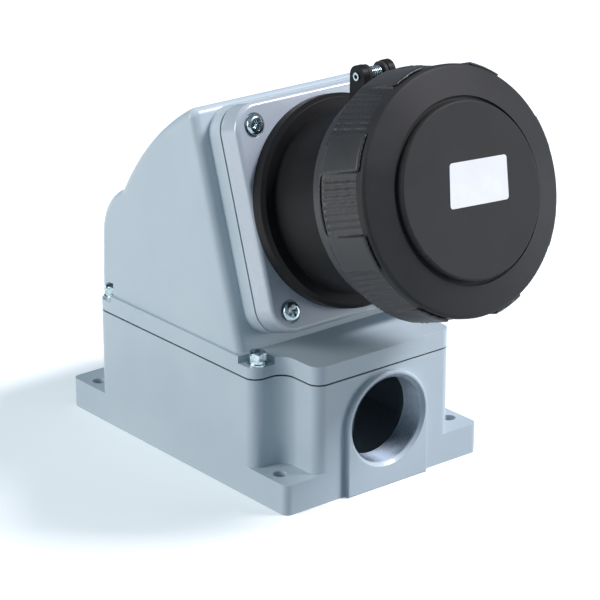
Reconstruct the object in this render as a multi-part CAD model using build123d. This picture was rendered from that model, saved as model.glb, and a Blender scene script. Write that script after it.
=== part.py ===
from build123d import *

import os
from math import asin, cos, degrees, pi, radians, sin, sqrt, tan

# Surface-mounted industrial socket with a cast housing and a screw-down lid.
# Millimetres. The origin is the centre of the mounting face, +Z points out of the
# mounting surface, and -Y is the front, where the cable enters and the socket faces.

# Shared clearances
thread_gap = 0.05
screw_clearance = 0.2
gasket_hole_margin = 0.3
cut_margin = 1.0

# Base
base_width = 126.0
base_length = 182.0
lug_height = 16.0
parting_height = 62.4
base_wall = 5.0
base_floor = 5.0
notch_width = 19.0
notch_length = 25.3
outer_corner_r = 6.5
inner_corner_r = 8.0
lug_corner_r = 4.0
lug_hole_r = 3.6
lug_hole_edge_x = 7.5
lug_hole_edge_y = 14.0

# Cable entry: the bore is the core diameter of a 47 mm conduit thread
entry_r = 22.75
entry_height = 35.2
entry_wall = 13.0
entry_chamfer = 1.5
entry_pad_margin = 3.2
entry_pad_rise = 3.0
entry_boss_margin = 6.0

# Cover plate and its screws
gasket_gap = 0.9
gasket_inset = 0.6
plate_thickness = 9.3
plate_rim = 6.0
plate_skin = 4.6
pocket_width = 13.5
pocket_length = 12.0
pocket_depth = 3.6
pocket_height = 10.0
pocket_wall = 4.0
cover_screw_edge_x = 6.8
cover_screw_edge_y = 5.2
cover_screw_r = 2.5
cover_screw_bite = 14.0
cover_head_r = 4.6
cover_head_height = 4.2
cover_head_crown = 1.0
cover_slot_width = 1.2
cover_slot_depth = 1.4
screw_boss_size = 17.0
washer_r = 5.0
washer_thickness = 1.0
spring_washer_r = 4.2
spring_washer_thickness = 1.6
spring_washer_cut = 1.2
spring_washer_cut_angle = 25.0

# Hood
hood_inset = 2.0
hood_wall = 4.0
hood_back = 66.0
hood_back_draft = 1.7
shoulder_r = 30.0
shoulder_height = 104.3
kink_y = 45.7
crown_r = 150.7
crown_centre_y = -84.7
crown_centre_z = 55.9
kink_blend_r = 7.0
crest_r = 4.0
hood_edge_r = 5.0

# Socket axis: the front face of the grey flange is its zero
tilt = 17.5
face_y = -55.3
face_z = 139.5
flange_width = 107.0
flange_height = 114.0
flange_corner_r = 14.0
flange_thickness = 13.0
flange_edge_r = 2.5
flange_gasket_thickness = 0.9
flange_gasket_inset = 1.0
pad_thickness = 9.1
flange_screw_edge_x = 11.2
flange_screw_edge_y = 11.0
flange_screw_r = 2.5
flange_screw_bite = 7.0
flange_head_r = 5.0
flange_head_height = 3.4
flange_head_recess = 1.2
flange_head_round = 2.0
flange_seat_margin = 0.9
cross_length = 5.6
cross_width = 1.3
cross_depth = 1.8
cross_turn = 20.0

# Socket body
collar_r = 53.0
collar_thickness = 8.0
collar_chamfer = 2.0
barrel_r = 45.5
barrel_back = -24.0
barrel_front = 47.0
barrel_clearance = 0.2
chamber_r = 43.2
shell_r = 41.5
shell_bore_r = 37.8
shell_front = 84.0
ledge_t = 20.0
keyway_width = 8.0
keyway_depth = 1.8
keyway_length = 40.0

# Bayonet: ramps on the shell, lugs in the ring
ramp_height = 3.8
ramp_width = 5.0
ramp_start = 16.0
ramp_end = 60.0
lug_width_angle = 15.0
lug_length = 5.2
lug_back = 50.0
bayonet_clearance = 0.5

# Contacts
carrier_core_r = 30.0
carrier_front = 70.0
carrier_flange = 8.0
contact_circle_r = 18.0
earth_clock_angle = 240.0
phase_pin_r = 4.0
earth_pin_r = 5.0
pilot_pin_r = 3.0
pin_clearance = 0.05
contact_wall = 1.25
contact_bore_clearance = 0.1
contact_lip = 1.8
lip_clearance = 0.3
contact_depth = 30.0
terminal_length = 20.0
terminal_margin = 0.8
wire_hole_depth = 14.0
terminal_screw_r = 1.9
terminal_screw_length = 5.5
terminal_screw_back = 6.0
carrier_screw_count = 3
carrier_screw_circle_r = 40.2
carrier_screw_r = 1.3
carrier_head_r = 2.6
carrier_head_height = 2.2
carrier_screw_bite = 10.0
carrier_clearance = 0.3
carrier_edge = 1.0
slit_width = 0.8
slit_length = 21.0
wire_hole_share = 0.6
grub_proud = 0.8

# Hinge at the top of the barrel
pin_t = 44.0
pin_u = 60.0
pin_r = 2.0
pin_bore_r = 1.1
pin_overhang = 0.8
ear_inner_x = 6.3
ear_outer_x = 10.0
ear_r = 5.3
ear_foot_back = 33.0
ear_foot_front = 46.5
ear_root = 2.0
ear_ring_gap = 1.2
pin_hole_clearance = 0.03
knuckle_r = 5.0
knuckle_inner_x = 4.1
knuckle_outer_x = 5.9
knuckle_bore_clearance = 0.08
arm_r = 46.4
arm_thickness = 2.9
arm_back = 41.8
arm_neck = 46.8
arm_root = 0.6
spring_wire_r = 0.5
spring_coil_r = 2.95
spring_turns = 5.5
spring_pitch = 1.06
spring_leg_long = 14.2
spring_leg_short = 9.4
arm_angle = 20.0

# Lid
lid_r = 59.5
lid_front = 97.0
lid_edge_front = 93.0
lid_edge_r = 2.5
lid_rim_back = 88.3
lid_flange_r = 55.5
lid_flange_back = 84.2
lid_wall = 3.6
lid_disc_r = 42.0
lid_disc_rise = 3.0
lid_disc_edge_r = 1.2
lid_groove_width = 2.2
lid_groove_depth = 1.2
skirt_bore_r = 46.0
skirt_r = 49.2
skirt_back = 72.0
bead_rise = 1.4
bead_width = 1.5
seal_gap = 0.3
seal_width = 5.0
seal_thickness = 3.2
seal_wall = 2.0
seal_inset = 0.5

# Locking ring
ring_bore_r = 50.0
ring_back = 48.0
ring_back_r = 54.0
ring_back_edge = 1.0
ring_neck_r = 54.6
ring_neck = 54.2
ring_slot_r = 56.6
ring_slot_front = 59.6
ring_shoulder_r = 60.4
ring_shoulder = 64.0
ring_land_r = 61.3
ring_land_front = 91.0
ring_land_edge = 1.0
ring_front = 88.0
ring_clearance = 0.3
grip_count = 8
grip_phase = -6.0
grip_angle = 28.0
grip_back_r = 60.2
grip_front_r = 57.9
grip_rib_count = 9
grip_rib_height = 0.7
grip_rib_angle = 1.3
grip_rib_sink = 0.4
slot_angle = 30.0
slot_width = 3.4
slot_back = 55.0

# Earth terminal in the base
earth_block_x = 34.0
earth_block_y = 42.0
earth_block_width = 14.0
earth_block_length = 16.0
earth_block_height = 10.0
earth_screw_r = 2.0
earth_screw_bite = 3.0
earth_head_r = 3.8
earth_head_height = 2.6
earth_wire_r = 2.6
earth_wire_edge = 1.2
small_slot_width = 0.9
small_slot_depth = 1.0

# Sizes that follow from the ones above
cover_bottom = parting_height + gasket_gap
cover_top = cover_bottom + plate_thickness
pocket_floor = cover_top - pocket_depth
hood_half = base_width / 2 - hood_inset
cover_screw_x = base_width / 2 - cover_screw_edge_x
cover_screw_y = base_length / 2 - notch_length - cover_screw_edge_y
lug_hole_x = base_width / 2 - lug_hole_edge_x
lug_hole_y = base_length / 2 - lug_hole_edge_y
flange_back = -flange_thickness
pad_front = flange_back - flange_gasket_thickness
pad_back = pad_front - pad_thickness
flange_screw_x = flange_width / 2 - flange_screw_edge_x
flange_screw_y = flange_height / 2 - flange_screw_edge_y
phase_tube_r = phase_pin_r + pin_clearance + contact_wall
earth_tube_r = earth_pin_r + pin_clearance + contact_wall
pilot_tube_r = pilot_pin_r + pin_clearance + contact_wall
carrier_back = ledge_t - carrier_flange
tube_front = carrier_front - contact_lip
head = Plane(origin=(0, face_y, face_z), x_dir=(1, 0, 0),
             z_dir=(0, -cos(radians(tilt)), sin(radians(tilt)))).location


def corners(x, y):
    """The four places at plus and minus x and y."""
    return [(sx * x, sy * y) for sx in (-1, 1) for sy in (-1, 1)]


def at_corners(x, y, part):
    """The same part at the four corner places."""
    return [Pos(px, py) * part for px, py in corners(x, y)]


def rounded_rectangle(width, length, radius):
    return fillet(Rectangle(width, length).vertices(), radius)


def cylinder_between(radius, low, high):
    return Pos(0, 0, low) * Cylinder(radius, high - low, align=(Align.CENTER, Align.CENTER, Align.MIN))


def tube(outer_r, bore_r, low, high):
    return cylinder_between(outer_r, low, high) - cylinder_between(bore_r, low - 1, high + 1)


def box_between(low, high):
    """A box from its lowest to its highest corner."""
    size = [b - a for a, b in zip(low, high)]
    centre = [(a + b) / 2 for a, b in zip(low, high)]
    return Pos(*centre) * Box(*size)


def sector(outer_r, inner_r, low, high, start, end):
    """Part of a tube, between two angles in degrees."""
    reach = outer_r * 2
    steps = [start, (start + end) / 2, end]
    points = [(reach * cos(radians(a)), reach * sin(radians(a))) for a in steps]
    wedge = extrude(Polygon((0, 0), *points, align=None), high - low)
    return tube(outer_r, inner_r, low, high) & (Pos(0, 0, low) * wedge)


def notched_outline(inset=0.0):
    """Plan of base and cover: a rectangle with a step at each corner."""
    outline = Rectangle(base_width, base_length)
    for x, y in corners(base_width / 2, base_length / 2):
        outline -= Pos(x, y) * Rectangle(2 * notch_width, 2 * notch_length)
    inner = [v for v in outline.vertices()
             if abs(v.X) < base_width / 2 - 0.1 and abs(v.Y) < base_length / 2 - 0.1]
    outline = fillet(inner, inner_corner_r)
    outer = [v for v in outline.vertices() if is_outer_corner(v)]
    outline = fillet(outer, outer_corner_r)
    return offset(outline, -inset) if inset else outline


def is_outer_corner(vertex):
    on_side = abs(abs(vertex.X) - base_width / 2) < 0.01
    on_end = abs(abs(vertex.Y) - base_length / 2) < 0.01
    at_side_end = abs(abs(vertex.Y) - (base_length / 2 - notch_length)) < 0.01
    at_end_side = abs(abs(vertex.X) - (base_width / 2 - notch_width)) < 0.01
    return (on_side and at_side_end) or (on_end and at_end_side)


def entry_location(y):
    """At the entry's axis on the plane y, facing out of the front."""
    return Plane(origin=(0, y, entry_height), x_dir=(1, 0, 0), z_dir=(0, -1, 0)).location


def base_box():
    """Cast base: walls, lugs, entry boss and arched pad, screw bosses in the corners."""
    front = -base_length / 2
    pad_r = entry_r + entry_pad_margin
    body = extrude(notched_outline(), parting_height)
    body += extrude(rounded_rectangle(base_width, base_length, lug_corner_r), lug_height)
    pad = box_between((-pad_r, front - entry_pad_rise, 0), (pad_r, front + 1, entry_height))
    pad += entry_location(front + 1) * cylinder_between(pad_r, 0, entry_pad_rise + 1)
    cavity = Pos(0, 0, base_floor) * extrude(notched_outline(base_wall), parting_height)
    for x, y in corners(base_width / 2, base_length / 2 - notch_length):
        cavity -= Pos(x, y, 0) * Box(2 * screw_boss_size, 2 * screw_boss_size, 3 * parting_height)
    mouth = front - entry_pad_rise
    cavity -= entry_location(mouth + entry_wall) * cylinder_between(entry_r + entry_boss_margin, 0, entry_wall)
    body = body + pad - cavity
    body -= entry_location(mouth + entry_wall) * cylinder_between(entry_r, -cut_margin, entry_wall + cut_margin)
    rim_r = entry_r + entry_chamfer
    body -= entry_location(mouth) * Pos(0, 0, -entry_chamfer / 2) * Cone(entry_r, rim_r, entry_chamfer)
    body -= at_corners(lug_hole_x, lug_hole_y, cylinder_between(lug_hole_r, -cut_margin, lug_height + cut_margin))
    tapped = cylinder_between(cover_screw_r + thread_gap, parting_height - cover_screw_bite - 1,
                              parting_height + cut_margin)
    body -= at_corners(cover_screw_x, cover_screw_y, tapped)
    body -= Pos(earth_block_x, earth_block_y, 0) * cylinder_between(
        earth_screw_r + thread_gap, base_floor - earth_screw_bite - 0.3, base_floor + cut_margin)
    return body


def base_gasket():
    """Flat seal between base and cover."""
    ring = notched_outline(gasket_inset) - notched_outline(base_wall)
    strip = Pos(0, 0, parting_height) * extrude(ring, gasket_gap)
    hole = cylinder_between(cover_screw_r + gasket_hole_margin, parting_height - 1, cover_bottom + 1)
    return strip - at_corners(cover_screw_x, cover_screw_y, hole)


def front_line_y(z):
    """Y of the hood's slanted front at the height z."""
    slope = tan(radians(tilt))
    origin_y = face_y - pad_back * cos(radians(tilt))
    origin_z = face_z + pad_back * sin(radians(tilt))
    return origin_y + (z - origin_z) * slope


def crown_z(y):
    return crown_centre_z + sqrt(crown_r ** 2 - (y - crown_centre_y) ** 2)


def crest_point():
    """Where the crown meets the slanted front."""
    low, high = shoulder_height, crown_centre_z + crown_r
    for _ in range(60):
        middle = (low + high) / 2
        if crown_z(front_line_y(middle)) > middle:
            low = middle
        else:
            high = middle
    return front_line_y(low), low


def hood_profile():
    """Side view of the hood: drafted back, shoulder, crown arc and slanted front."""
    top_back = hood_back - hood_back_draft
    centre = top_back - shoulder_r
    kink_z = shoulder_height + sqrt(shoulder_r ** 2 - (kink_y - centre) ** 2)
    crest_y, crest_z = crest_point()
    middle_angle = asin((kink_z - shoulder_height) / shoulder_r) / 2
    shoulder_middle = (centre + shoulder_r * cos(middle_angle), shoulder_height + shoulder_r * sin(middle_angle))
    crown_middle_y = (kink_y + crest_y) / 2
    low = cover_bottom + 1
    edges = [
        Line((hood_back, low), (top_back, shoulder_height)),
        ThreePointArc((top_back, shoulder_height), shoulder_middle, (kink_y, kink_z)),
        ThreePointArc((kink_y, kink_z), (crown_middle_y, crown_z(crown_middle_y)), (crest_y, crest_z)),
        Line((crest_y, crest_z), (front_line_y(low), low)),
        Line((front_line_y(low), low), (hood_back, low)),
    ]
    profile = make_face(edges)
    kink = [v for v in profile.vertices() if abs(v.X - kink_y) < 0.01]
    profile = fillet(kink, kink_blend_r)
    crest = [v for v in profile.vertices() if abs(v.X - crest_y) < 0.01 and v.Y > shoulder_height]
    return fillet(crest, crest_r)


def hood_solid(half_width, profile):
    """The profile across the width, standing upright."""
    side = Plane(origin=(-half_width, 0, 0), x_dir=(0, 1, 0), z_dir=(1, 0, 0)).location
    return side * extrude(profile, 2 * half_width)


def hood_outside():
    solid = hood_solid(hood_half, hood_profile())
    rims = [e for e in solid.edges()
            if abs(abs(e.center().X) - hood_half) < 0.01 and e.bounding_box().max.Z > cover_bottom + 2]
    return fillet(rims, hood_edge_r)


def pocket_block(margin, low, high):
    """Space of the four screw pockets, or with a margin the metal round them."""
    size_x, size_y = pocket_width + cut_margin + margin, pocket_length + cut_margin + margin
    centre_x = base_width / 2 + cut_margin - size_x / 2
    centre_y = base_length / 2 - notch_length + cut_margin - size_y / 2
    block = Pos(0, 0, low) * Box(size_x, size_y, high - low, align=(Align.CENTER, Align.CENTER, Align.MIN))
    return Part() + at_corners(centre_x, centre_y, block)


def cover_housing():
    """Cast cover: plate, hood, slanted pad for the socket, all shelled from below."""
    plate = Pos(0, 0, cover_bottom) * extrude(notched_outline(), plate_thickness)
    hood = hood_outside()
    pad = extrude(rounded_rectangle(flange_width, flange_height, flange_corner_r), pad_thickness + 1)
    pad = head * Pos(0, 0, pad_back - 1) * pad
    body = plate + hood + pad
    room = hood_solid(hood_half - hood_wall, offset(hood_profile(), -hood_wall))
    room += Pos(0, 0, cover_bottom - 1) * extrude(notched_outline(plate_rim), 1 + plate_thickness - plate_skin)
    guard_top = pocket_floor + pocket_height + pocket_wall
    guard = pocket_block(pocket_wall, cover_bottom, guard_top) & (plate + hood)
    guard += pocket_block(pocket_wall, cover_bottom, guard_top) & Pos(0, 0, cover_bottom) * extrude(
        notched_outline(plate_rim / 2), guard_top)
    room_floor = box_between((-base_width, -base_length, cover_bottom - 2), (base_width, base_length, guard_top * 3))
    body -= (room & room_floor) - guard
    mouth = box_between((-hood_half + hood_wall, front_line_y(cover_top) + hood_wall * 1.3, cover_bottom - 1),
                        (hood_half - hood_wall, hood_back - hood_wall, cover_top + 1))
    body -= mouth - guard
    body -= pocket_block(0, pocket_floor, pocket_floor + pocket_height)
    body -= head * cylinder_between(barrel_r + barrel_clearance, pad_back - 3 * hood_wall, 0)
    body -= at_corners(cover_screw_x, cover_screw_y, cylinder_between(
        cover_screw_r + screw_clearance, cover_bottom - cut_margin, pocket_floor + cut_margin))
    tapped = cylinder_between(flange_screw_r + thread_gap, pad_front - flange_screw_bite - 0.5, pad_front + 1)
    return body - [head * hole for hole in at_corners(flange_screw_x, flange_screw_y, tapped)]


def cover_stack(bottom, part):
    """One piece of each screw's stack, at the four pockets."""
    return Compound(children=at_corners(cover_screw_x, cover_screw_y, Pos(0, 0, bottom) * part))


def cover_washers():
    return cover_stack(pocket_floor, tube(washer_r, cover_screw_r + screw_clearance, 0, washer_thickness))


def spring_washers():
    """Split rings with a slanting cut."""
    ring = tube(spring_washer_r, cover_screw_r + screw_clearance, 0, spring_washer_thickness)
    cut = Box(2 * spring_washer_r, spring_washer_cut, 3 * spring_washer_thickness)
    ring -= Pos(spring_washer_r, 0, spring_washer_thickness / 2) * Rot(spring_washer_cut_angle, 0, 0) * cut
    return cover_stack(pocket_floor + washer_thickness, ring)


def cover_screws():
    """Slotted hexagon heads on their washers, shanks down into the base."""
    bottom = pocket_floor + washer_thickness + spring_washer_thickness
    shank = cylinder_between(cover_screw_r, parting_height - cover_screw_bite - bottom, 0)
    crown = cylinder_between(cover_head_r, 0, cover_head_height)
    crown = chamfer(crown.faces().sort_by(Axis.Z)[-1].edges(), cover_head_crown)
    hexagon = extrude(RegularPolygon(cover_head_r, 6), cover_head_height) & crown
    slot = Pos(0, 0, cover_head_height) * Box(4 * cover_head_r, cover_slot_width, 2 * cover_slot_depth)
    return cover_stack(bottom, shank + hexagon - slot)


def flange_plate(inset, low, high):
    shape = rounded_rectangle(flange_width - 2 * inset, flange_height - 2 * inset, flange_corner_r - inset)
    return Pos(0, 0, low) * extrude(shape, high - low)


def flange_gasket():
    seal = flange_plate(flange_gasket_inset, pad_front, flange_back)
    seal -= cylinder_between(barrel_r + barrel_clearance, pad_front - 1, flange_back + 1)
    hole = cylinder_between(flange_screw_r + gasket_hole_margin, pad_front - 1, flange_back + 1)
    return head * (seal - at_corners(flange_screw_x, flange_screw_y, hole))


def socket_flange():
    """Grey rounded square flange with a softened front edge and countersunk seats."""
    plate = flange_plate(0, flange_back, 0)
    plate = fillet(plate.faces().sort_by(Axis.Z)[-1].edges(), flange_edge_r)
    plate -= cylinder_between(barrel_r + barrel_clearance, flange_back - 1, 1)
    hole = cylinder_between(flange_screw_r + screw_clearance, flange_back - 1, 1)
    hole += cylinder_between(flange_head_r + flange_seat_margin, -flange_head_recess, 1)
    return head * (plate - at_corners(flange_screw_x, flange_screw_y, hole))


def flange_screws():
    """Four pan-head screws with cross recesses."""
    low = -flange_head_recess
    screw = cylinder_between(flange_screw_r, pad_front - flange_screw_bite, low)
    dome = cylinder_between(flange_head_r, low, low + flange_head_height)
    screw += fillet(dome.faces().sort_by(Axis.Z)[-1].edges(), flange_head_round)
    recess = Box(cross_length, cross_width, 2 * cross_depth) + Box(cross_width, cross_length, 2 * cross_depth)
    screw -= Pos(0, 0, low + flange_head_height) * Rot(0, 0, cross_turn) * recess
    return Compound(children=[head * part for part in at_corners(flange_screw_x, flange_screw_y, screw)])


def ramp(start, end):
    """Bayonet ramp: a rib that thickens towards its locked end."""
    low = lug_back + lug_length + bayonet_clearance
    return sector(shell_r + ramp_height, shell_r - 0.5, low, low + ramp_width, start, end)


def hinge_ear(low_x, high_x):
    """One ear, a plate round the pin that broadens to its foot on the barrel."""
    side = Plane(origin=(high_x, 0, 0), x_dir=(0, 0, 1), z_dir=(-1, 0, 0))
    foot = barrel_r - ear_root
    eye = (Pos(pin_t, pin_u) * Circle(ear_r)).edges()
    outline = make_hull([*eye, Line((ear_foot_back, foot), (ear_foot_front, foot)).edge()])
    ring_space = Pos(ring_back - ear_ring_gap, foot) * Rectangle(
        4 * ear_r, 2 * (pin_u - knuckle_r - foot), align=(Align.MIN, Align.CENTER))
    return side.location * extrude(outline - ring_space, high_x - low_x)


def socket_body():
    """Black collar, barrel and shell in one moulding, with ramps, keyway and ears."""
    collar = chamfer(cylinder_between(collar_r, 0, collar_thickness).faces().sort_by(Axis.Z)[-1].edges(),
                     collar_chamfer)
    body = collar + cylinder_between(barrel_r, barrel_back, barrel_front)
    body += cylinder_between(shell_r, barrel_front - 1, shell_front)
    for turn in (0, 180):
        body += ramp(turn - ramp_end, turn - ramp_start)
    for low_x, high_x in ((-ear_outer_x, -ear_inner_x), (ear_inner_x, ear_outer_x)):
        body += hinge_ear(low_x, high_x)
    body -= cylinder_between(shell_bore_r, ledge_t - 1, shell_front + 1)
    body -= cylinder_between(chamber_r, barrel_back - 1, ledge_t)
    body -= box_between((-keyway_width / 2, -shell_bore_r - keyway_depth, shell_front - keyway_length),
                        (keyway_width / 2, -carrier_core_r, shell_front + 1))
    body -= pin_cylinder(pin_r + pin_hole_clearance, ear_outer_x + 1)
    for angle in carrier_screw_angles():
        body -= Rot(0, 0, angle) * Pos(carrier_screw_circle_r, 0, 0) * cylinder_between(
            carrier_screw_r + thread_gap, ledge_t - 1, ledge_t + carrier_screw_bite + 0.5)
    return head * body


def pin_cylinder(radius, half_length):
    """A cylinder on the hinge axis."""
    return Pos(0, pin_u, pin_t) * Rot(0, 90, 0) * Cylinder(radius, 2 * half_length)


def hinge_pin():
    half = ear_outer_x + pin_overhang
    return head * (pin_cylinder(pin_r, half) - pin_cylinder(pin_bore_r, half + 1))


def hinge_spring():
    """Torsion spring round the pin: one leg on the barrel, one above the lid's arm."""
    height = spring_turns * spring_pitch
    coil = Helix(pitch=spring_pitch, height=height, radius=spring_coil_r)
    long_leg = Line(coil @ 0 - (coil % 0) * spring_leg_long, coil @ 0)
    short_leg = Line(coil @ 1, coil @ 1 + (coil % 1) * spring_leg_short)
    path = Wire([long_leg.edge(), coil.edge(), short_leg.edge()])
    spring = sweep(Plane(origin=path @ 0, z_dir=path % 0) * Circle(spring_wire_r), path=path)
    return head * Pos(0, pin_u, pin_t) * Rot(0, 90, 0) * Pos(0, 0, -height / 2) * spring


def contact_places():
    """Angle of each main contact on the circle: earth first, then the phases."""
    return [earth_clock_angle - 90 * step for step in range(4)]


def carrier_screw_angles():
    return [earth_clock_angle + 45 + 360 * n / carrier_screw_count for n in range(carrier_screw_count)]


def contact_carrier():
    """Insulating core with a bore for each contact and a flange at the back."""
    core = cylinder_between(carrier_core_r, carrier_back, carrier_front)
    core = chamfer(core.faces().sort_by(Axis.Z)[-1].edges(), carrier_edge)
    core += cylinder_between(chamber_r - carrier_clearance, carrier_back, ledge_t)
    for angle, tube_r, pin in contact_sizes():
        core -= Rot(0, 0, angle) * Pos(contact_circle_r, 0, 0) * contact_bore(tube_r, pin)
    core -= contact_bore(pilot_tube_r, pilot_pin_r)
    for angle in carrier_screw_angles():
        core -= Rot(0, 0, angle) * Pos(carrier_screw_circle_r, 0, 0) * cylinder_between(
            carrier_screw_r + screw_clearance, carrier_back - 1, ledge_t + 1)
    return head * core


def contact_bore(tube_r, pin):
    """Bore for a contact tube, with a lip in front of it that only the pin passes."""
    bore = cylinder_between(tube_r + contact_bore_clearance, carrier_back - 1, tube_front)
    return bore + cylinder_between(pin + lip_clearance, tube_front - 1, carrier_front + 1)


def contact_sizes():
    """Angle, tube radius and pin radius of the four main contacts."""
    angles = contact_places()
    return [(angles[0], earth_tube_r, earth_pin_r)] + [(a, phase_tube_r, phase_pin_r) for a in angles[1:]]


def contact(tube_r, pin_radius, x):
    """Slit contact tube with a terminal block at its back, on a radius at x."""
    bore_r = pin_radius + pin_clearance
    piece = cylinder_between(tube_r, carrier_back, tube_front)
    block = 2 * (tube_r + terminal_margin)
    low = carrier_back - terminal_length
    piece += box_between((-block / 2, -block / 2, low), (block / 2, block / 2, carrier_back))
    piece -= cylinder_between(bore_r, tube_front - contact_depth, tube_front + 1)
    piece -= cylinder_between(tube_r * wire_hole_share, low - 1, low + wire_hole_depth)
    piece -= Pos(0, 0, tube_front) * Box(slit_width, 4 * tube_r, 2 * slit_length)
    piece -= terminal_screw_at(tube_r, terminal_screw_r + thread_gap)
    return Pos(x, 0, 0) * piece


def terminal_screw_at(tube_r, radius):
    """Clamping screw of a terminal, pointing away from the middle."""
    tip = tube_r + terminal_margin + grub_proud
    z = carrier_back - terminal_length + terminal_screw_back
    return Pos(tip - terminal_screw_length, 0, z) * Rot(0, 90, 0) * cylinder_between(
        radius, 0, terminal_screw_length)


def main_contact(index):
    angle, tube_r, pin = contact_sizes()[index]
    return head * Rot(0, 0, angle) * contact(tube_r, pin, contact_circle_r)


def pilot_contact():
    return head * Rot(0, 0, earth_clock_angle + 45) * contact(pilot_tube_r, pilot_pin_r, 0)


def terminal_screws():
    """One slotted grub screw for each of the five terminals."""
    screws = []
    for angle, tube_r, pin in contact_sizes():
        place = Rot(0, 0, angle) * Pos(contact_circle_r, 0, 0)
        screws.append(head * place * slotted_grub(tube_r))
    screws.append(head * Rot(0, 0, earth_clock_angle + 45) * slotted_grub(pilot_tube_r))
    return Compound(children=screws)


def slotted_grub(tube_r):
    tip = tube_r + terminal_margin + grub_proud
    z = carrier_back - terminal_length + terminal_screw_back
    slot = Box(2 * small_slot_depth, 4 * terminal_screw_r, small_slot_width)
    return terminal_screw_at(tube_r, terminal_screw_r) - Pos(tip, 0, z) * slot


def carrier_screws():
    """Screws that hold the carrier against the ledge of the body."""
    screws = []
    for angle in carrier_screw_angles():
        screw = cylinder_between(carrier_head_r, carrier_back - carrier_head_height, carrier_back)
        screw += cylinder_between(carrier_screw_r, carrier_back - 1, ledge_t + carrier_screw_bite)
        screw -= Pos(0, 0, carrier_back - carrier_head_height) * Box(
            4 * carrier_head_r, small_slot_width, 2 * small_slot_depth)
        screws.append(head * Rot(0, 0, angle) * Pos(carrier_screw_circle_r, 0, 0) * screw)
    return Compound(children=screws)


def ring_profile(points):
    """A flat face from (radius, height) corners."""
    return make_face(Polyline(*points, close=True))


def revolved(face, arc=360):
    """A ring, or a part of one that is centred on the x direction."""
    return Rot(0, 0, -arc / 2) * revolve(Plane.XZ * face, Axis.Z, revolution_arc=arc)


def lid_profile():
    """Half section: bead, skirt, flange, rim, sloping band, groove and raised disc."""
    groove_r = lid_disc_r + lid_groove_width
    groove_floor = lid_front - lid_groove_depth
    disc_top = lid_front + lid_disc_rise
    inside = lid_front - lid_wall
    bead_front = skirt_back + bead_width
    face = ring_profile([
        (skirt_bore_r, skirt_back), (skirt_r + bead_rise, skirt_back), (skirt_r + bead_rise, bead_front),
        (skirt_r, bead_front), (skirt_r, lid_flange_back), (lid_flange_r, lid_flange_back),
        (lid_flange_r, lid_rim_back), (lid_r, lid_rim_back), (lid_r, lid_edge_front), (groove_r, lid_front),
        (groove_r, groove_floor), (lid_disc_r, groove_floor), (lid_disc_r, disc_top), (0, disc_top),
        (0, inside), (skirt_bore_r, inside)])
    rim = [v for v in face.vertices() if v.X > lid_r - 0.1 and v.Y > lid_edge_front - 0.1]
    face = fillet(rim, lid_edge_r)
    disc_edge = [v for v in face.vertices() if v.X > 0.1 and v.Y > disc_top - 0.1]
    return fillet(disc_edge, lid_disc_edge_r)


def lid_arm():
    """Arm from the skirt up to the knuckle on the hinge pin."""
    arm = sector(arm_r + arm_thickness, arm_r, arm_back, skirt_back + 2, 90 - arm_angle / 2, 90 + arm_angle / 2)
    arm &= box_between((-knuckle_outer_x, 0, 0), (knuckle_outer_x, 2 * pin_u, lid_front))
    cheek = pin_cylinder(knuckle_r, knuckle_outer_x)
    cheek += box_between((-knuckle_outer_x, arm_r + arm_root, arm_back), (knuckle_outer_x, pin_u, arm_neck))
    cheek -= box_between((-knuckle_inner_x, arm_r + arm_thickness, 0), (knuckle_inner_x, 2 * pin_u, lid_front))
    return arm + cheek


def lid():
    """Lid with centre disc, groove, seal seat, skirt, bead and hinge arm."""
    cap = revolved(lid_profile())
    seat_back = shell_front + seal_gap + seal_thickness
    cap += tube(shell_bore_r + seal_width, shell_bore_r - seal_wall, seat_back, lid_front - lid_wall + 1)
    cap += lid_arm()
    cap -= pin_cylinder(pin_r + knuckle_bore_clearance, knuckle_outer_x + 1)
    return head * cap


def lid_gasket():
    low = shell_front + seal_gap
    return head * tube(shell_bore_r + seal_width - seal_inset, shell_bore_r - seal_wall + seal_inset,
                       low, low + seal_thickness)


def ring_blank():
    """Turned form of the locking ring: back rim, shoulder, land and the bead's groove."""
    counter_r = lid_flange_r + ring_clearance
    shelf = lid_flange_back - ring_clearance
    groove_r = skirt_r + bead_rise + ring_clearance
    groove_back = skirt_back - ring_clearance
    groove_front = skirt_back + bead_width + ring_clearance
    return revolved(ring_profile([
        (ring_bore_r, ring_back + ring_back_edge), (ring_bore_r + ring_back_edge, ring_back),
        (ring_back_r - ring_back_edge, ring_back), (ring_back_r, ring_back + ring_back_edge),
        (ring_neck_r, ring_neck), (ring_slot_r, ring_slot_front), (ring_shoulder_r, ring_shoulder),
        (ring_land_r, ring_shoulder + ring_land_edge), (ring_land_r, ring_land_front - ring_land_edge),
        (ring_land_r - ring_land_edge / 2, ring_land_front), (lid_r + ring_clearance, ring_land_front),
        (lid_r + ring_clearance, ring_front), (counter_r, ring_front), (counter_r, shelf),
        (ring_bore_r, shelf), (ring_bore_r, groove_front), (groove_r, groove_front),
        (groove_r, groove_back), (ring_bore_r, groove_back)]))


def grip_scoop():
    """Cut for one grip: its floor leans inwards to the front."""
    back = ring_shoulder + ring_land_edge
    beyond = 2 * ring_land_r
    return revolved(ring_profile([
        (grip_back_r, back), (beyond, back), (beyond, ring_land_front + 1), (lid_flange_r, ring_land_front + 1),
        (lid_flange_r, ring_front), (grip_front_r, ring_front)]), grip_angle)


def grip_rib():
    """One rib on the floor of a grip."""
    back = ring_shoulder + ring_land_edge
    return revolved(ring_profile([
        (grip_back_r - grip_rib_sink, back), (grip_back_r + grip_rib_height, back),
        (grip_front_r + grip_rib_height, ring_front), (grip_front_r - grip_rib_sink, ring_front)]), grip_rib_angle)


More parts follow.
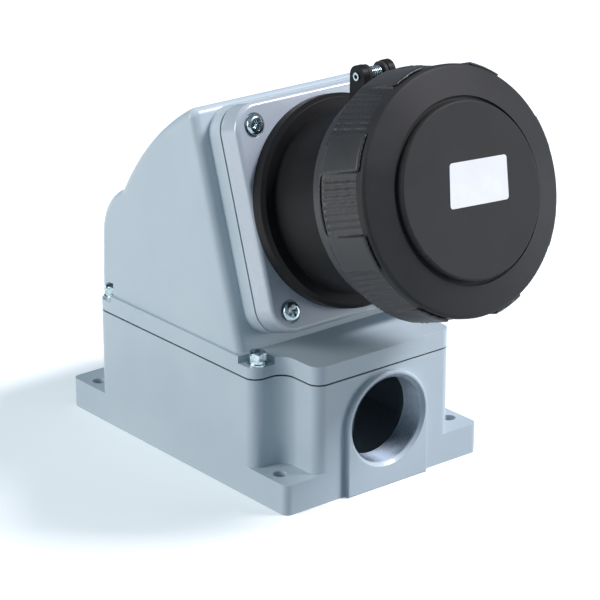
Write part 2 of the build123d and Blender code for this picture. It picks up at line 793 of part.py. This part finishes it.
def locking_ring():
    """Grip ring that turns round the lid: lands, ribbed grips, slots and two bayonet lugs."""
    turns = [360 * n / grip_count + grip_phase for n in range(grip_count)]
    pitch = grip_angle / grip_rib_count
    rib_turns = [(n + 0.5) * pitch - grip_angle / 2 for n in range(grip_rib_count)]
    slot = sector(ring_land_r, ring_bore_r - 1, slot_back, slot_back + slot_width, -slot_angle / 2, slot_angle / 2)
    lug = sector(ring_bore_r + 1, shell_r + bayonet_clearance, lug_back, lug_back + lug_length,
                 -lug_width_angle / 2, lug_width_angle / 2)
    scoop = grip_scoop()
    rib = grip_rib()
    ring = ring_blank() - [Rot(0, 0, turn) * slot for turn in turns]
    ring -= [Rot(0, 0, turn) * scoop for turn in turns]
    ring += [Rot(0, 0, turn + rib_turn) * rib for turn in turns for rib_turn in rib_turns]
    ring += [Rot(0, 0, turn) * lug for turn in (0, 180)]
    return head * ring


def earth_terminal():
    """Brass block on the floor of the base, with a hole for the earth wire."""
    low_x = earth_block_x - earth_block_width / 2
    low_y = earth_block_y - earth_block_length / 2
    block = box_between((low_x, low_y, base_floor),
                        (low_x + earth_block_width, low_y + earth_block_length, base_floor + earth_block_height))
    block -= Pos(earth_block_x, earth_block_y, 0) * cylinder_between(earth_screw_r + 0.1, 0, 2 * earth_block_height)
    wire_x = low_x + earth_wire_r + earth_wire_edge
    wire = Pos(wire_x, earth_block_y, base_floor + earth_block_height / 2)
    block -= wire * Rot(90, 0, 0) * Cylinder(earth_wire_r, 2 * earth_block_length)
    return block


def earth_terminal_screw():
    top = base_floor + earth_block_height
    screw = cylinder_between(earth_screw_r, base_floor - earth_screw_bite, top)
    screw += cylinder_between(earth_head_r, top, top + earth_head_height)
    screw -= Pos(0, 0, top + earth_head_height) * Box(4 * earth_head_r, small_slot_width, 2 * small_slot_depth)
    return Pos(earth_block_x, earth_block_y, 0) * screw


parts = {
    "base_box": base_box,
    "base_gasket": base_gasket,
    "cover_housing": cover_housing,
    "cover_washers": cover_washers,
    "spring_washers": spring_washers,
    "cover_screws": cover_screws,
    "flange_gasket": flange_gasket,
    "socket_flange": socket_flange,
    "flange_screws": flange_screws,
    "socket_body": socket_body,
    "contact_carrier": contact_carrier,
    "earth_contact": lambda: main_contact(0),
    "contact_l1": lambda: main_contact(1),
    "contact_l2": lambda: main_contact(2),
    "contact_l3": lambda: main_contact(3),
    "pilot_contact": pilot_contact,
    "terminal_screws": terminal_screws,
    "carrier_screws": carrier_screws,
    "hinge_pin": hinge_pin,
    "hinge_spring": hinge_spring,
    "lid": lid,
    "lid_gasket": lid_gasket,
    "locking_ring": locking_ring,
    "earth_terminal": earth_terminal,
    "earth_terminal_screw": earth_terminal_screw,
}

os.makedirs("parts", exist_ok=True)
for name, make in parts.items():
    export_step(make(), f"parts/{name}.step")
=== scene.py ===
"""A surface-mounted industrial socket: cast grey housing, black socket with a screw-down lid."""

import math

import bmesh
import bpy
from mathutils import Matrix, Vector


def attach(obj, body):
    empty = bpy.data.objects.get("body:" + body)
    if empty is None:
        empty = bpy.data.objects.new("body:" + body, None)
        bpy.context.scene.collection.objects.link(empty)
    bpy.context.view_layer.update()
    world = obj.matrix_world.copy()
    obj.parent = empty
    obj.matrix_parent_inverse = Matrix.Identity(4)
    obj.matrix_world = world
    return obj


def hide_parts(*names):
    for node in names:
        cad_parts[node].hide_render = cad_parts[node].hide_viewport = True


MM = 0.001

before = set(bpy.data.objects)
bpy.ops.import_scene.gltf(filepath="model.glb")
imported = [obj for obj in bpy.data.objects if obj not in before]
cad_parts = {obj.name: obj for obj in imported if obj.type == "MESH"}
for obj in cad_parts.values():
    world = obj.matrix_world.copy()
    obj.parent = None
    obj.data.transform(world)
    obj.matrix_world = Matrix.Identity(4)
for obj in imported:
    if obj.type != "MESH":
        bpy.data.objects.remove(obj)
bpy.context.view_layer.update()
scene = bpy.context.scene

# The socket's own axis: across, up the slanted face, and out of it. Its zero is the face of the flange.
FACE = Vector((0, -55.3, 139.5)) * MM
TILT = math.radians(17.5)
ACROSS = Vector((1, 0, 0))
UP_FACE = Vector((0, math.sin(TILT), math.cos(TILT)))
OUT = Vector((0, -math.cos(TILT), math.sin(TILT)))
HEAD = Matrix.Translation(FACE) @ Matrix((ACROSS, UP_FACE, OUT)).transposed().to_4x4()

# Places that the CAD part has too, in millimetres: the cable entry and the face of the lid's disc
ENTRY_R = 22.75
ENTRY_HEIGHT = 35.2
ENTRY_MOUTH = -94.0
DISC_TOP = 100.0

# Points nearer than this are welded, and edges this near to a plane lie on it, in millimetres
WELD = 0.002
ON_FACE = 0.01

# Triangles that bend less than this many degrees are one flat, and faces that bend more have an edge
FLAT_BEND = 0.3
EDGE_ANGLE = 35

# Widths of the softened edges, in millimetres
CAST_EDGE = 0.5
FLANGE_EDGE = 0.3
BODY_EDGE = 0.4
LID_EDGE = 0.3
SCREW_EDGE = 0.2
FILM_EDGE = 0.06
PAD_FILLET = 0.9
PAD_RIM_WIDTH = 2.5

# The ring's skin is remade at this grain in millimetres, fine enough for its ribs, and relaxed this often
RING_GRAIN = 0.73
RING_PASSES = 1

# Conduit thread of the entry: lengths in millimetres, the number of turns, and the steps in each
THREAD_PITCH = 1.5
THREAD_TURNS = 9
THREAD_STEPS = 96
THREAD_HEIGHT = 0.7
THREAD_LEAD_IN = 1.6
THREAD_HALF_FOOT = 0.7
THREAD_HALF_CREST = 0.1
THREAD_SINK = 0.1

# Label, in millimetres: its corners on the disc, across and up, which set it a little askew
LABEL_CORNERS = [(-11.1, 14.6), (24.0, 12.4), (20.6, -8.3), (-15.5, -6.1)]
LABEL_CORNER_R = 1.6
LABEL_THICKNESS = 0.25

# Stage, in metres
FLOOR_HALF_WIDTH = 6.0
OBJECT_MIDDLE = (0, -0.05, 0.1)
BASE_MIDDLE = (0, 0, 0.1)

# Share of the noise's range over which a colour goes from dark to light
PATCH_LOW = 0.35
PATCH_HIGH = 0.65


# Materials


def linear(code):
    """The linear colour of an sRGB hex value."""
    parts = [int(code[i:i + 2], 16) / 255 for i in (1, 3, 5)]
    return tuple(c / 12.92 if c <= 0.04045 else ((c + 0.055) / 1.055) ** 2.4 for c in parts) + (1.0,)


def per_mm(size):
    """Texture scale that gives features of this many millimetres."""
    return 1 / (size * MM)


def add(tree, kind, settings=None, inputs=None):
    """Adds a node. An input is a value, or the output of another node."""
    made = tree.nodes.new(kind)
    for name, value in (settings or {}).items():
        setattr(made, name, value)
    for name, value in (inputs or {}).items():
        if isinstance(value, bpy.types.NodeSocket):
            tree.links.new(value, made.inputs[name])
        else:
            made.inputs[name].default_value = value
    return made


def new_surface(name, inputs):
    """A material with one principled shader; returns the material, its tree and the shader."""
    material = bpy.data.materials.new(name)
    material.use_nodes = True
    tree = material.node_tree
    tree.nodes.clear()
    shader = add(tree, "ShaderNodeBsdfPrincipled", inputs=inputs)
    add(tree, "ShaderNodeOutputMaterial", inputs={"Surface": shader.outputs[0]})
    return material, tree, shader


def mottled(tree, shader, dark, light, size):
    """Colour that drifts between two tones over patches of the given size."""
    place = add(tree, "ShaderNodeTexCoord")
    cloud = add(tree, "ShaderNodeTexNoise", inputs={
        "Vector": place.outputs["Object"], "Scale": per_mm(size), "Detail": 3.0, "Roughness": 0.55})
    share = add(tree, "ShaderNodeMapRange", inputs={
        "Value": cloud.outputs["Fac"], "From Min": PATCH_LOW, "From Max": PATCH_HIGH})
    # Inputs 0, 6 and 7 of a colour mix are its share and its two colours, and output 2 is its result
    tint = add(tree, "ShaderNodeMix", {"data_type": "RGBA"}, {
        0: share.outputs[0], 6: linear(dark), 7: linear(light)})
    tree.links.new(tint.outputs[2], shader.inputs["Base Color"])
    return place, share


def grained(tree, shader, place, size, depth):
    """Fine relief on the surface: grain size and depth in millimetres.

    The real grain of a mould, of plating and of a cut is too fine to show, so it is drawn coarser.
    """
    grain = add(tree, "ShaderNodeTexNoise", inputs={
        "Vector": place.outputs["Object"], "Scale": per_mm(size), "Detail": 2.0, "Roughness": 0.5})
    relief = add(tree, "ShaderNodeBump", inputs={
        "Height": grain.outputs["Fac"], "Distance": depth * MM, "Strength": 1.0})
    tree.links.new(relief.outputs[0], shader.inputs["Normal"])


def uneven_gloss(tree, shader, share, smooth, rough):
    """Roughness that drifts with the same patches as the colour."""
    gloss = add(tree, "ShaderNodeMapRange", inputs={
        "Value": share.outputs[0], "To Min": smooth, "To Max": rough})
    tree.links.new(gloss.outputs[0], shader.inputs["Roughness"])


def powder_coated_casting():
    """Die-cast aluminium, powder coated pale blue grey: soft sheen with a faint orange peel."""
    material, tree, shader = new_surface("powder_coated_casting", {
        "IOR": 1.5, "Coat Weight": 0.3, "Coat Roughness": 0.12})
    place, share = mottled(tree, shader, "#B5C3CA", "#BCC9CF", 60)
    grained(tree, shader, place, 1.6, 0.012)
    uneven_gloss(tree, shader, share, 0.4, 0.46)
    return material


def lacquered_flange():
    """The same paint on the machined socket flange: smoother, so it mirrors the black collar."""
    material, tree, shader = new_surface("lacquered_flange_paint", {
        "IOR": 1.55, "Coat Weight": 0.8, "Coat Roughness": 0.07})
    place, share = mottled(tree, shader, "#B1BBC3", "#B8C1C9", 60)
    grained(tree, shader, place, 2.2, 0.006)
    uneven_gloss(tree, shader, share, 0.22, 0.28)
    return material


def matt_moulded_polyamide():
    """Glass-filled polyamide off a sparked mould: dark grey, matt, with a fine even grain."""
    material, tree, shader = new_surface("matt_moulded_polyamide", {
        "IOR": 1.5, "Specular IOR Level": 0.12})
    place, share = mottled(tree, shader, "#303030", "#353535", 25)
    grained(tree, shader, place, 0.7, 0.02)
    uneven_gloss(tree, shader, share, 0.46, 0.54)
    return material


def smooth_moulded_polyamide():
    """The lid's compound off a smoother mould: its ribs and edges catch the light."""
    material, tree, shader = new_surface("smooth_moulded_polyamide", {
        "IOR": 1.5, "Specular IOR Level": 0.32})
    place, share = mottled(tree, shader, "#323232", "#373737", 25)
    grained(tree, shader, place, 1.0, 0.02)
    uneven_gloss(tree, shader, share, 0.36, 0.42)
    return material


def satin_polyamide_with_painted_shade():
    """Black polyamide off a smoother mould with soft broad highlights; its deep black is set darker than
    the lid's, partly the body's own colour and partly painted shade for the barrel and collar under the
    ring.
    """
    material, tree, shader = new_surface("satin_polyamide_with_painted_shade", {
        "IOR": 1.5, "Specular IOR Level": 0.1})
    # Tones darker than the lid's: the body's own black with painted shade added in
    place, share = mottled(tree, shader, "#1C1C1C", "#202020", 25)
    grained(tree, shader, place, 0.9, 0.008)
    uneven_gloss(tree, shader, share, 0.38, 0.44)
    return material


def moulded_carrier_plastic():
    """Grey thermoset moulding of the contact carrier: dull, faintly speckled."""
    material, tree, shader = new_surface("moulded_carrier_thermoset", {"IOR": 1.55})
    place, share = mottled(tree, shader, "#5B5E60", "#676A6B", 3)
    grained(tree, shader, place, 0.8, 0.015)
    uneven_gloss(tree, shader, share, 0.5, 0.6)
    return material


def zinc_plated_steel():
    """Bright zinc plate on steel: cool silver with faint cloudy patches."""
    material, tree, shader = new_surface("zinc_plated_steel", {"Metallic": 1.0})
    place, share = mottled(tree, shader, "#8FA3A9", "#C2D0D3", 2.5)
    grained(tree, shader, place, 0.5, 0.01)
    uneven_gloss(tree, shader, share, 0.18, 0.32)
    return material


def cut_aluminium():
    """Die-cast aluminium bared by the tap: dull grey metal with a fine torn grain."""
    material, tree, shader = new_surface("tapped_cast_aluminium", {"Metallic": 1.0})
    place, share = mottled(tree, shader, "#76838F", "#8C99A4", 4)
    grained(tree, shader, place, 0.4, 0.01)
    uneven_gloss(tree, shader, share, 0.5, 0.6)
    return material


def turned_brass():
    """Turned brass of the contacts: warm yellow with a fine cut grain."""
    material, tree, shader = new_surface("turned_brass", {"Metallic": 1.0})
    place, share = mottled(tree, shader, "#B8923F", "#CBA75A", 6)
    grained(tree, shader, place, 0.4, 0.01)
    uneven_gloss(tree, shader, share, 0.22, 0.32)
    return material


def moulded_rubber():
    """Black nitrile seal: dull with a faint bloom."""
    material, tree, shader = new_surface("moulded_nitrile_rubber", {
        "IOR": 1.52, "Specular IOR Level": 0.35})
    place, share = mottled(tree, shader, "#17191B", "#212427", 4)
    grained(tree, shader, place, 0.6, 0.02)
    uneven_gloss(tree, shader, share, 0.6, 0.75)
    return material


def label_film():
    """Bare white polyester film with a faint sheen."""
    material, tree, shader = new_surface("satin_polyester_film", {
        "IOR": 1.5, "Specular IOR Level": 0.25})
    place, share = mottled(tree, shader, "#E6E8E8", "#EDEFEF", 12)
    grained(tree, shader, place, 1.2, 0.004)
    uneven_gloss(tree, shader, share, 0.75, 0.85)
    return material


# Pieces


def piece(bm, name, body, slot, material, *nodes):
    """Makes the object of a finished mesh, lets it ride on its body and stand for its CAD nodes."""
    mesh = bpy.data.meshes.new(name)
    bm.to_mesh(mesh)
    bm.free()
    mesh.shade_smooth()
    obj = bpy.data.objects.new(name, mesh)
    scene.collection.objects.link(obj)
    mesh.materials.append(material)
    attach(obj, body)
    if nodes:
        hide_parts(*nodes)
    return obj


def merged(node):
    """A CAD node's skin merged from its loose triangles, with each flat made one face."""
    bm = bmesh.new()
    bm.from_mesh(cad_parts[node].data)
    bmesh.ops.remove_doubles(bm, verts=bm.verts, dist=WELD * MM)
    bmesh.ops.dissolve_limit(bm, angle_limit=math.radians(FLAT_BEND), verts=bm.verts, edges=bm.edges)
    return bm


def dressed(node, name, body, slot, material):
    """A merged copy of one CAD node, with its own finish, that stands for the node."""
    return piece(merged(node), name, body, slot, material, node)


def softened(obj, width):
    """Takes the sharpness off the edges, as a mould or a casting does."""
    obj.data.set_sharp_from_angle(angle=math.radians(EDGE_ANGLE))
    edge = obj.modifiers.new("edge_radius", "BEVEL")
    edge.width = width * MM
    edge.segments = 2
    edge.limit_method = "ANGLE"
    edge.angle_limit = math.radians(EDGE_ANGLE)
    edge.use_clamp_overlap = True
    edge.miter_outer = "MITER_ARC"
    flats = obj.modifiers.new("flat_shading", "WEIGHTED_NORMAL")
    flats.keep_sharp = True


def rounded(obj, grain, passes):
    """Rounds every edge of a moulding, ribs and scoops too, by remeshing it finely and relaxing it."""
    skin = obj.modifiers.new("even_skin", "REMESH")
    skin.mode = "VOXEL"
    skin.voxel_size = grain * MM
    skin.use_smooth_shade = True
    relax = obj.modifiers.new("mould_radii", "SMOOTH")
    relax.factor = 0.5
    relax.iterations = passes


def entry_thread():
    """Conduit thread of the entry: one V-shaped ridge wound round the bore."""
    bm = bmesh.new()
    start = ENTRY_MOUTH + THREAD_LEAD_IN
    foot_r = ENTRY_R + THREAD_SINK
    crest_r = ENTRY_R - THREAD_HEIGHT
    corners = [(foot_r, -THREAD_HALF_FOOT), (crest_r, -THREAD_HALF_CREST),
               (crest_r, THREAD_HALF_CREST), (foot_r, THREAD_HALF_FOOT)]
    ridge = [bm.verts.new(Vector((-r, start + y, ENTRY_HEIGHT)) * MM) for r, y in corners]
    edges = [bm.edges.new(pair) for pair in zip(ridge, ridge[1:])]
    advance = Vector((0, THREAD_PITCH / THREAD_STEPS, 0)) * MM
    bmesh.ops.spin(bm, geom=ridge + edges, cent=Vector((0, 0, ENTRY_HEIGHT)) * MM, axis=(0, 1, 0),
                   dvec=advance, angle=math.tau * THREAD_TURNS, steps=THREAD_STEPS * THREAD_TURNS,
                   use_merge=False)
    bmesh.ops.holes_fill(bm, edges=[e for e in bm.edges if e.is_boundary], sides=4)
    bmesh.ops.recalc_face_normals(bm, faces=bm.faces)
    return bm


def cast_base():
    """The base with the soft fillets that the casting has round its arched pad."""
    bm = merged("base_box")
    entry = Vector((0, ENTRY_MOUTH, ENTRY_HEIGHT)) * MM
    rim = []
    for edge in bm.edges:
        on_pad = all(abs(v.co.y - entry.y) < ON_FACE * MM for v in edge.verts)
        outside = all((v.co - entry).length > (ENTRY_R + PAD_RIM_WIDTH) * MM for v in edge.verts)
        if on_pad and outside:
            rim.append(edge)
    bmesh.ops.bevel(bm, geom=rim, offset=PAD_FILLET * MM, offset_type="OFFSET", affect="EDGES",
                    segments=5, profile=0.5, material=-1, clamp_overlap=True)
    return bm


def label_plate():
    """Bare label on the lid's disc, a rounded rectangle of film set a little askew."""
    bm = bmesh.new()
    outline = [bm.verts.new(HEAD @ (Vector((x, u, DISC_TOP)) * MM)) for x, u in reversed(LABEL_CORNERS)]
    bm.faces.new(outline)
    bmesh.ops.bevel(bm, geom=bm.verts[:], offset=LABEL_CORNER_R * MM, affect="VERTICES", segments=5,
                    profile=0.5, material=-1)
    grown = bmesh.ops.extrude_face_region(bm, geom=bm.faces[:])
    moved = [v for v in grown["geom"] if isinstance(v, bmesh.types.BMVert)]
    bmesh.ops.translate(bm, verts=moved, vec=OUT * LABEL_THICKNESS * MM)
    bmesh.ops.recalc_face_normals(bm, faces=bm.faces)
    return bm


paint = powder_coated_casting()
flange_paint = lacquered_flange()
lid_plastic = matt_moulded_polyamide()
grip_plastic = smooth_moulded_polyamide()
body_plastic = satin_polyamide_with_painted_shade()
carrier_plastic = moulded_carrier_plastic()
zinc = zinc_plated_steel()
cut_metal = cut_aluminium()
brass = turned_brass()
rubber = moulded_rubber()
film = label_film()

base = piece(cast_base(), "cast_base", "socket", "painted_housing", paint, "base_box")
cover = dressed("cover_housing", "cast_cover", "socket", "painted_housing", paint)
flange = dressed("socket_flange", "painted_flange", "socket", "painted_housing", flange_paint)
body = dressed("socket_body", "moulded_body", "socket", "black_plastic", body_plastic)
lid = dressed("lid", "moulded_lid", "lid", "ring_plastic", lid_plastic)
ring = dressed("locking_ring", "moulded_ring", "ring", "ring_plastic", grip_plastic)
flange_screws = dressed("flange_screws", "flange_screw_heads", "socket", "zinc_steel", zinc)
cover_screws = dressed("cover_screws", "cover_screw_heads", "socket", "zinc_steel", zinc)
piece(entry_thread(), "entry_thread", "socket", "painted_housing", cut_metal)
label = piece(label_plate(), "bare_label", "lid", "ring_plastic", film)

softened(base, CAST_EDGE)
softened(cover, CAST_EDGE)
softened(flange, FLANGE_EDGE)
softened(body, BODY_EDGE)
softened(lid, LID_EDGE)
rounded(ring, RING_GRAIN, RING_PASSES)
softened(flange_screws, SCREW_EDGE)
softened(cover_screws, SCREW_EDGE)
softened(label, FILM_EDGE)

# What each of the record's material slots is made of, for the CAD nodes
FINISHES = {
    "painted_housing": paint,
    "black_plastic": body_plastic,
    "ring_plastic": lid_plastic,
    "carrier_plastic": carrier_plastic,
    "zinc_steel": zinc,
    "contact_brass": brass,
    "seal_rubber": rubber,
}
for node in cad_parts.values():
    for slot in node.material_slots:
        slot.material = FINISHES[slot.material.name]


# Stage, lights and camera


def floor():
    """Pale paper floor. It throws no light back up, so the faces under the head stay in shade."""
    bm = bmesh.new()
    bmesh.ops.create_grid(bm, x_segments=1, y_segments=1, size=FLOOR_HALF_WIDTH)
    mesh = bpy.data.meshes.new("floor")
    bm.to_mesh(mesh)
    bm.free()
    obj = bpy.data.objects.new("floor", mesh)
    scene.collection.objects.link(obj)
    paper = new_surface("pale_paper_floor", {
        "Base Color": linear("#F6F8F9"), "Roughness": 0.9, "Specular IOR Level": 0.1,
        "Emission Color": linear("#E4F4F4"), "Emission Strength": 0.25})[0]
    mesh.materials.append(paper)
    obj.visible_diffuse = False


def softbox(name, place, target, size, power, colour):
    """A square area light, its size in metres and its power in watts, that faces its target."""
    data = bpy.data.lights.new(name, "AREA")
    data.shape = "SQUARE"
    data.size = size
    data.energy = power
    data.color = linear(colour)[:3]
    lamp = bpy.data.objects.new(name, data)
    scene.collection.objects.link(lamp)
    aim = Vector(target) - Vector(place)
    lamp.location = place
    lamp.rotation_euler = aim.to_track_quat("-Z", "Y").to_euler()


floor()
softbox("right_softbox", (1.7, -1.53, 2.5), OBJECT_MIDDLE, size=0.9, power=122, colour="#FBF8FF")
softbox("left_softbox", (-1.6, 0.5, 0.7), BASE_MIDDLE, size=1.0, power=23, colour="#FFFFFF")
softbox("front_fill", (1.3, -1.1, 0.3), OBJECT_MIDDLE, size=0.6, power=7, colour="#FFFFFF")

# Cool light from all round, which fills the shadows
world = bpy.data.worlds.new("studio")
scene.world = world
world.use_nodes = True
surround = world.node_tree.nodes["Background"]
surround.inputs["Color"].default_value = linear("#C0D3E8")
surround.inputs["Strength"].default_value = 0.38
scene.view_settings.view_transform = "Standard"

# A long lens at the photo's angle
lens = bpy.data.cameras.new("camera")
lens.lens = 159.33
lens.sensor_width = 36
lens.clip_end = 20
camera = bpy.data.objects.new("camera", lens)
scene.collection.objects.link(camera)
camera.location = (-0.79605, -1.00436, 0.55500)
camera.rotation_euler = (math.radians(69.32), 0, math.radians(-39.08))
scene.camera = camera
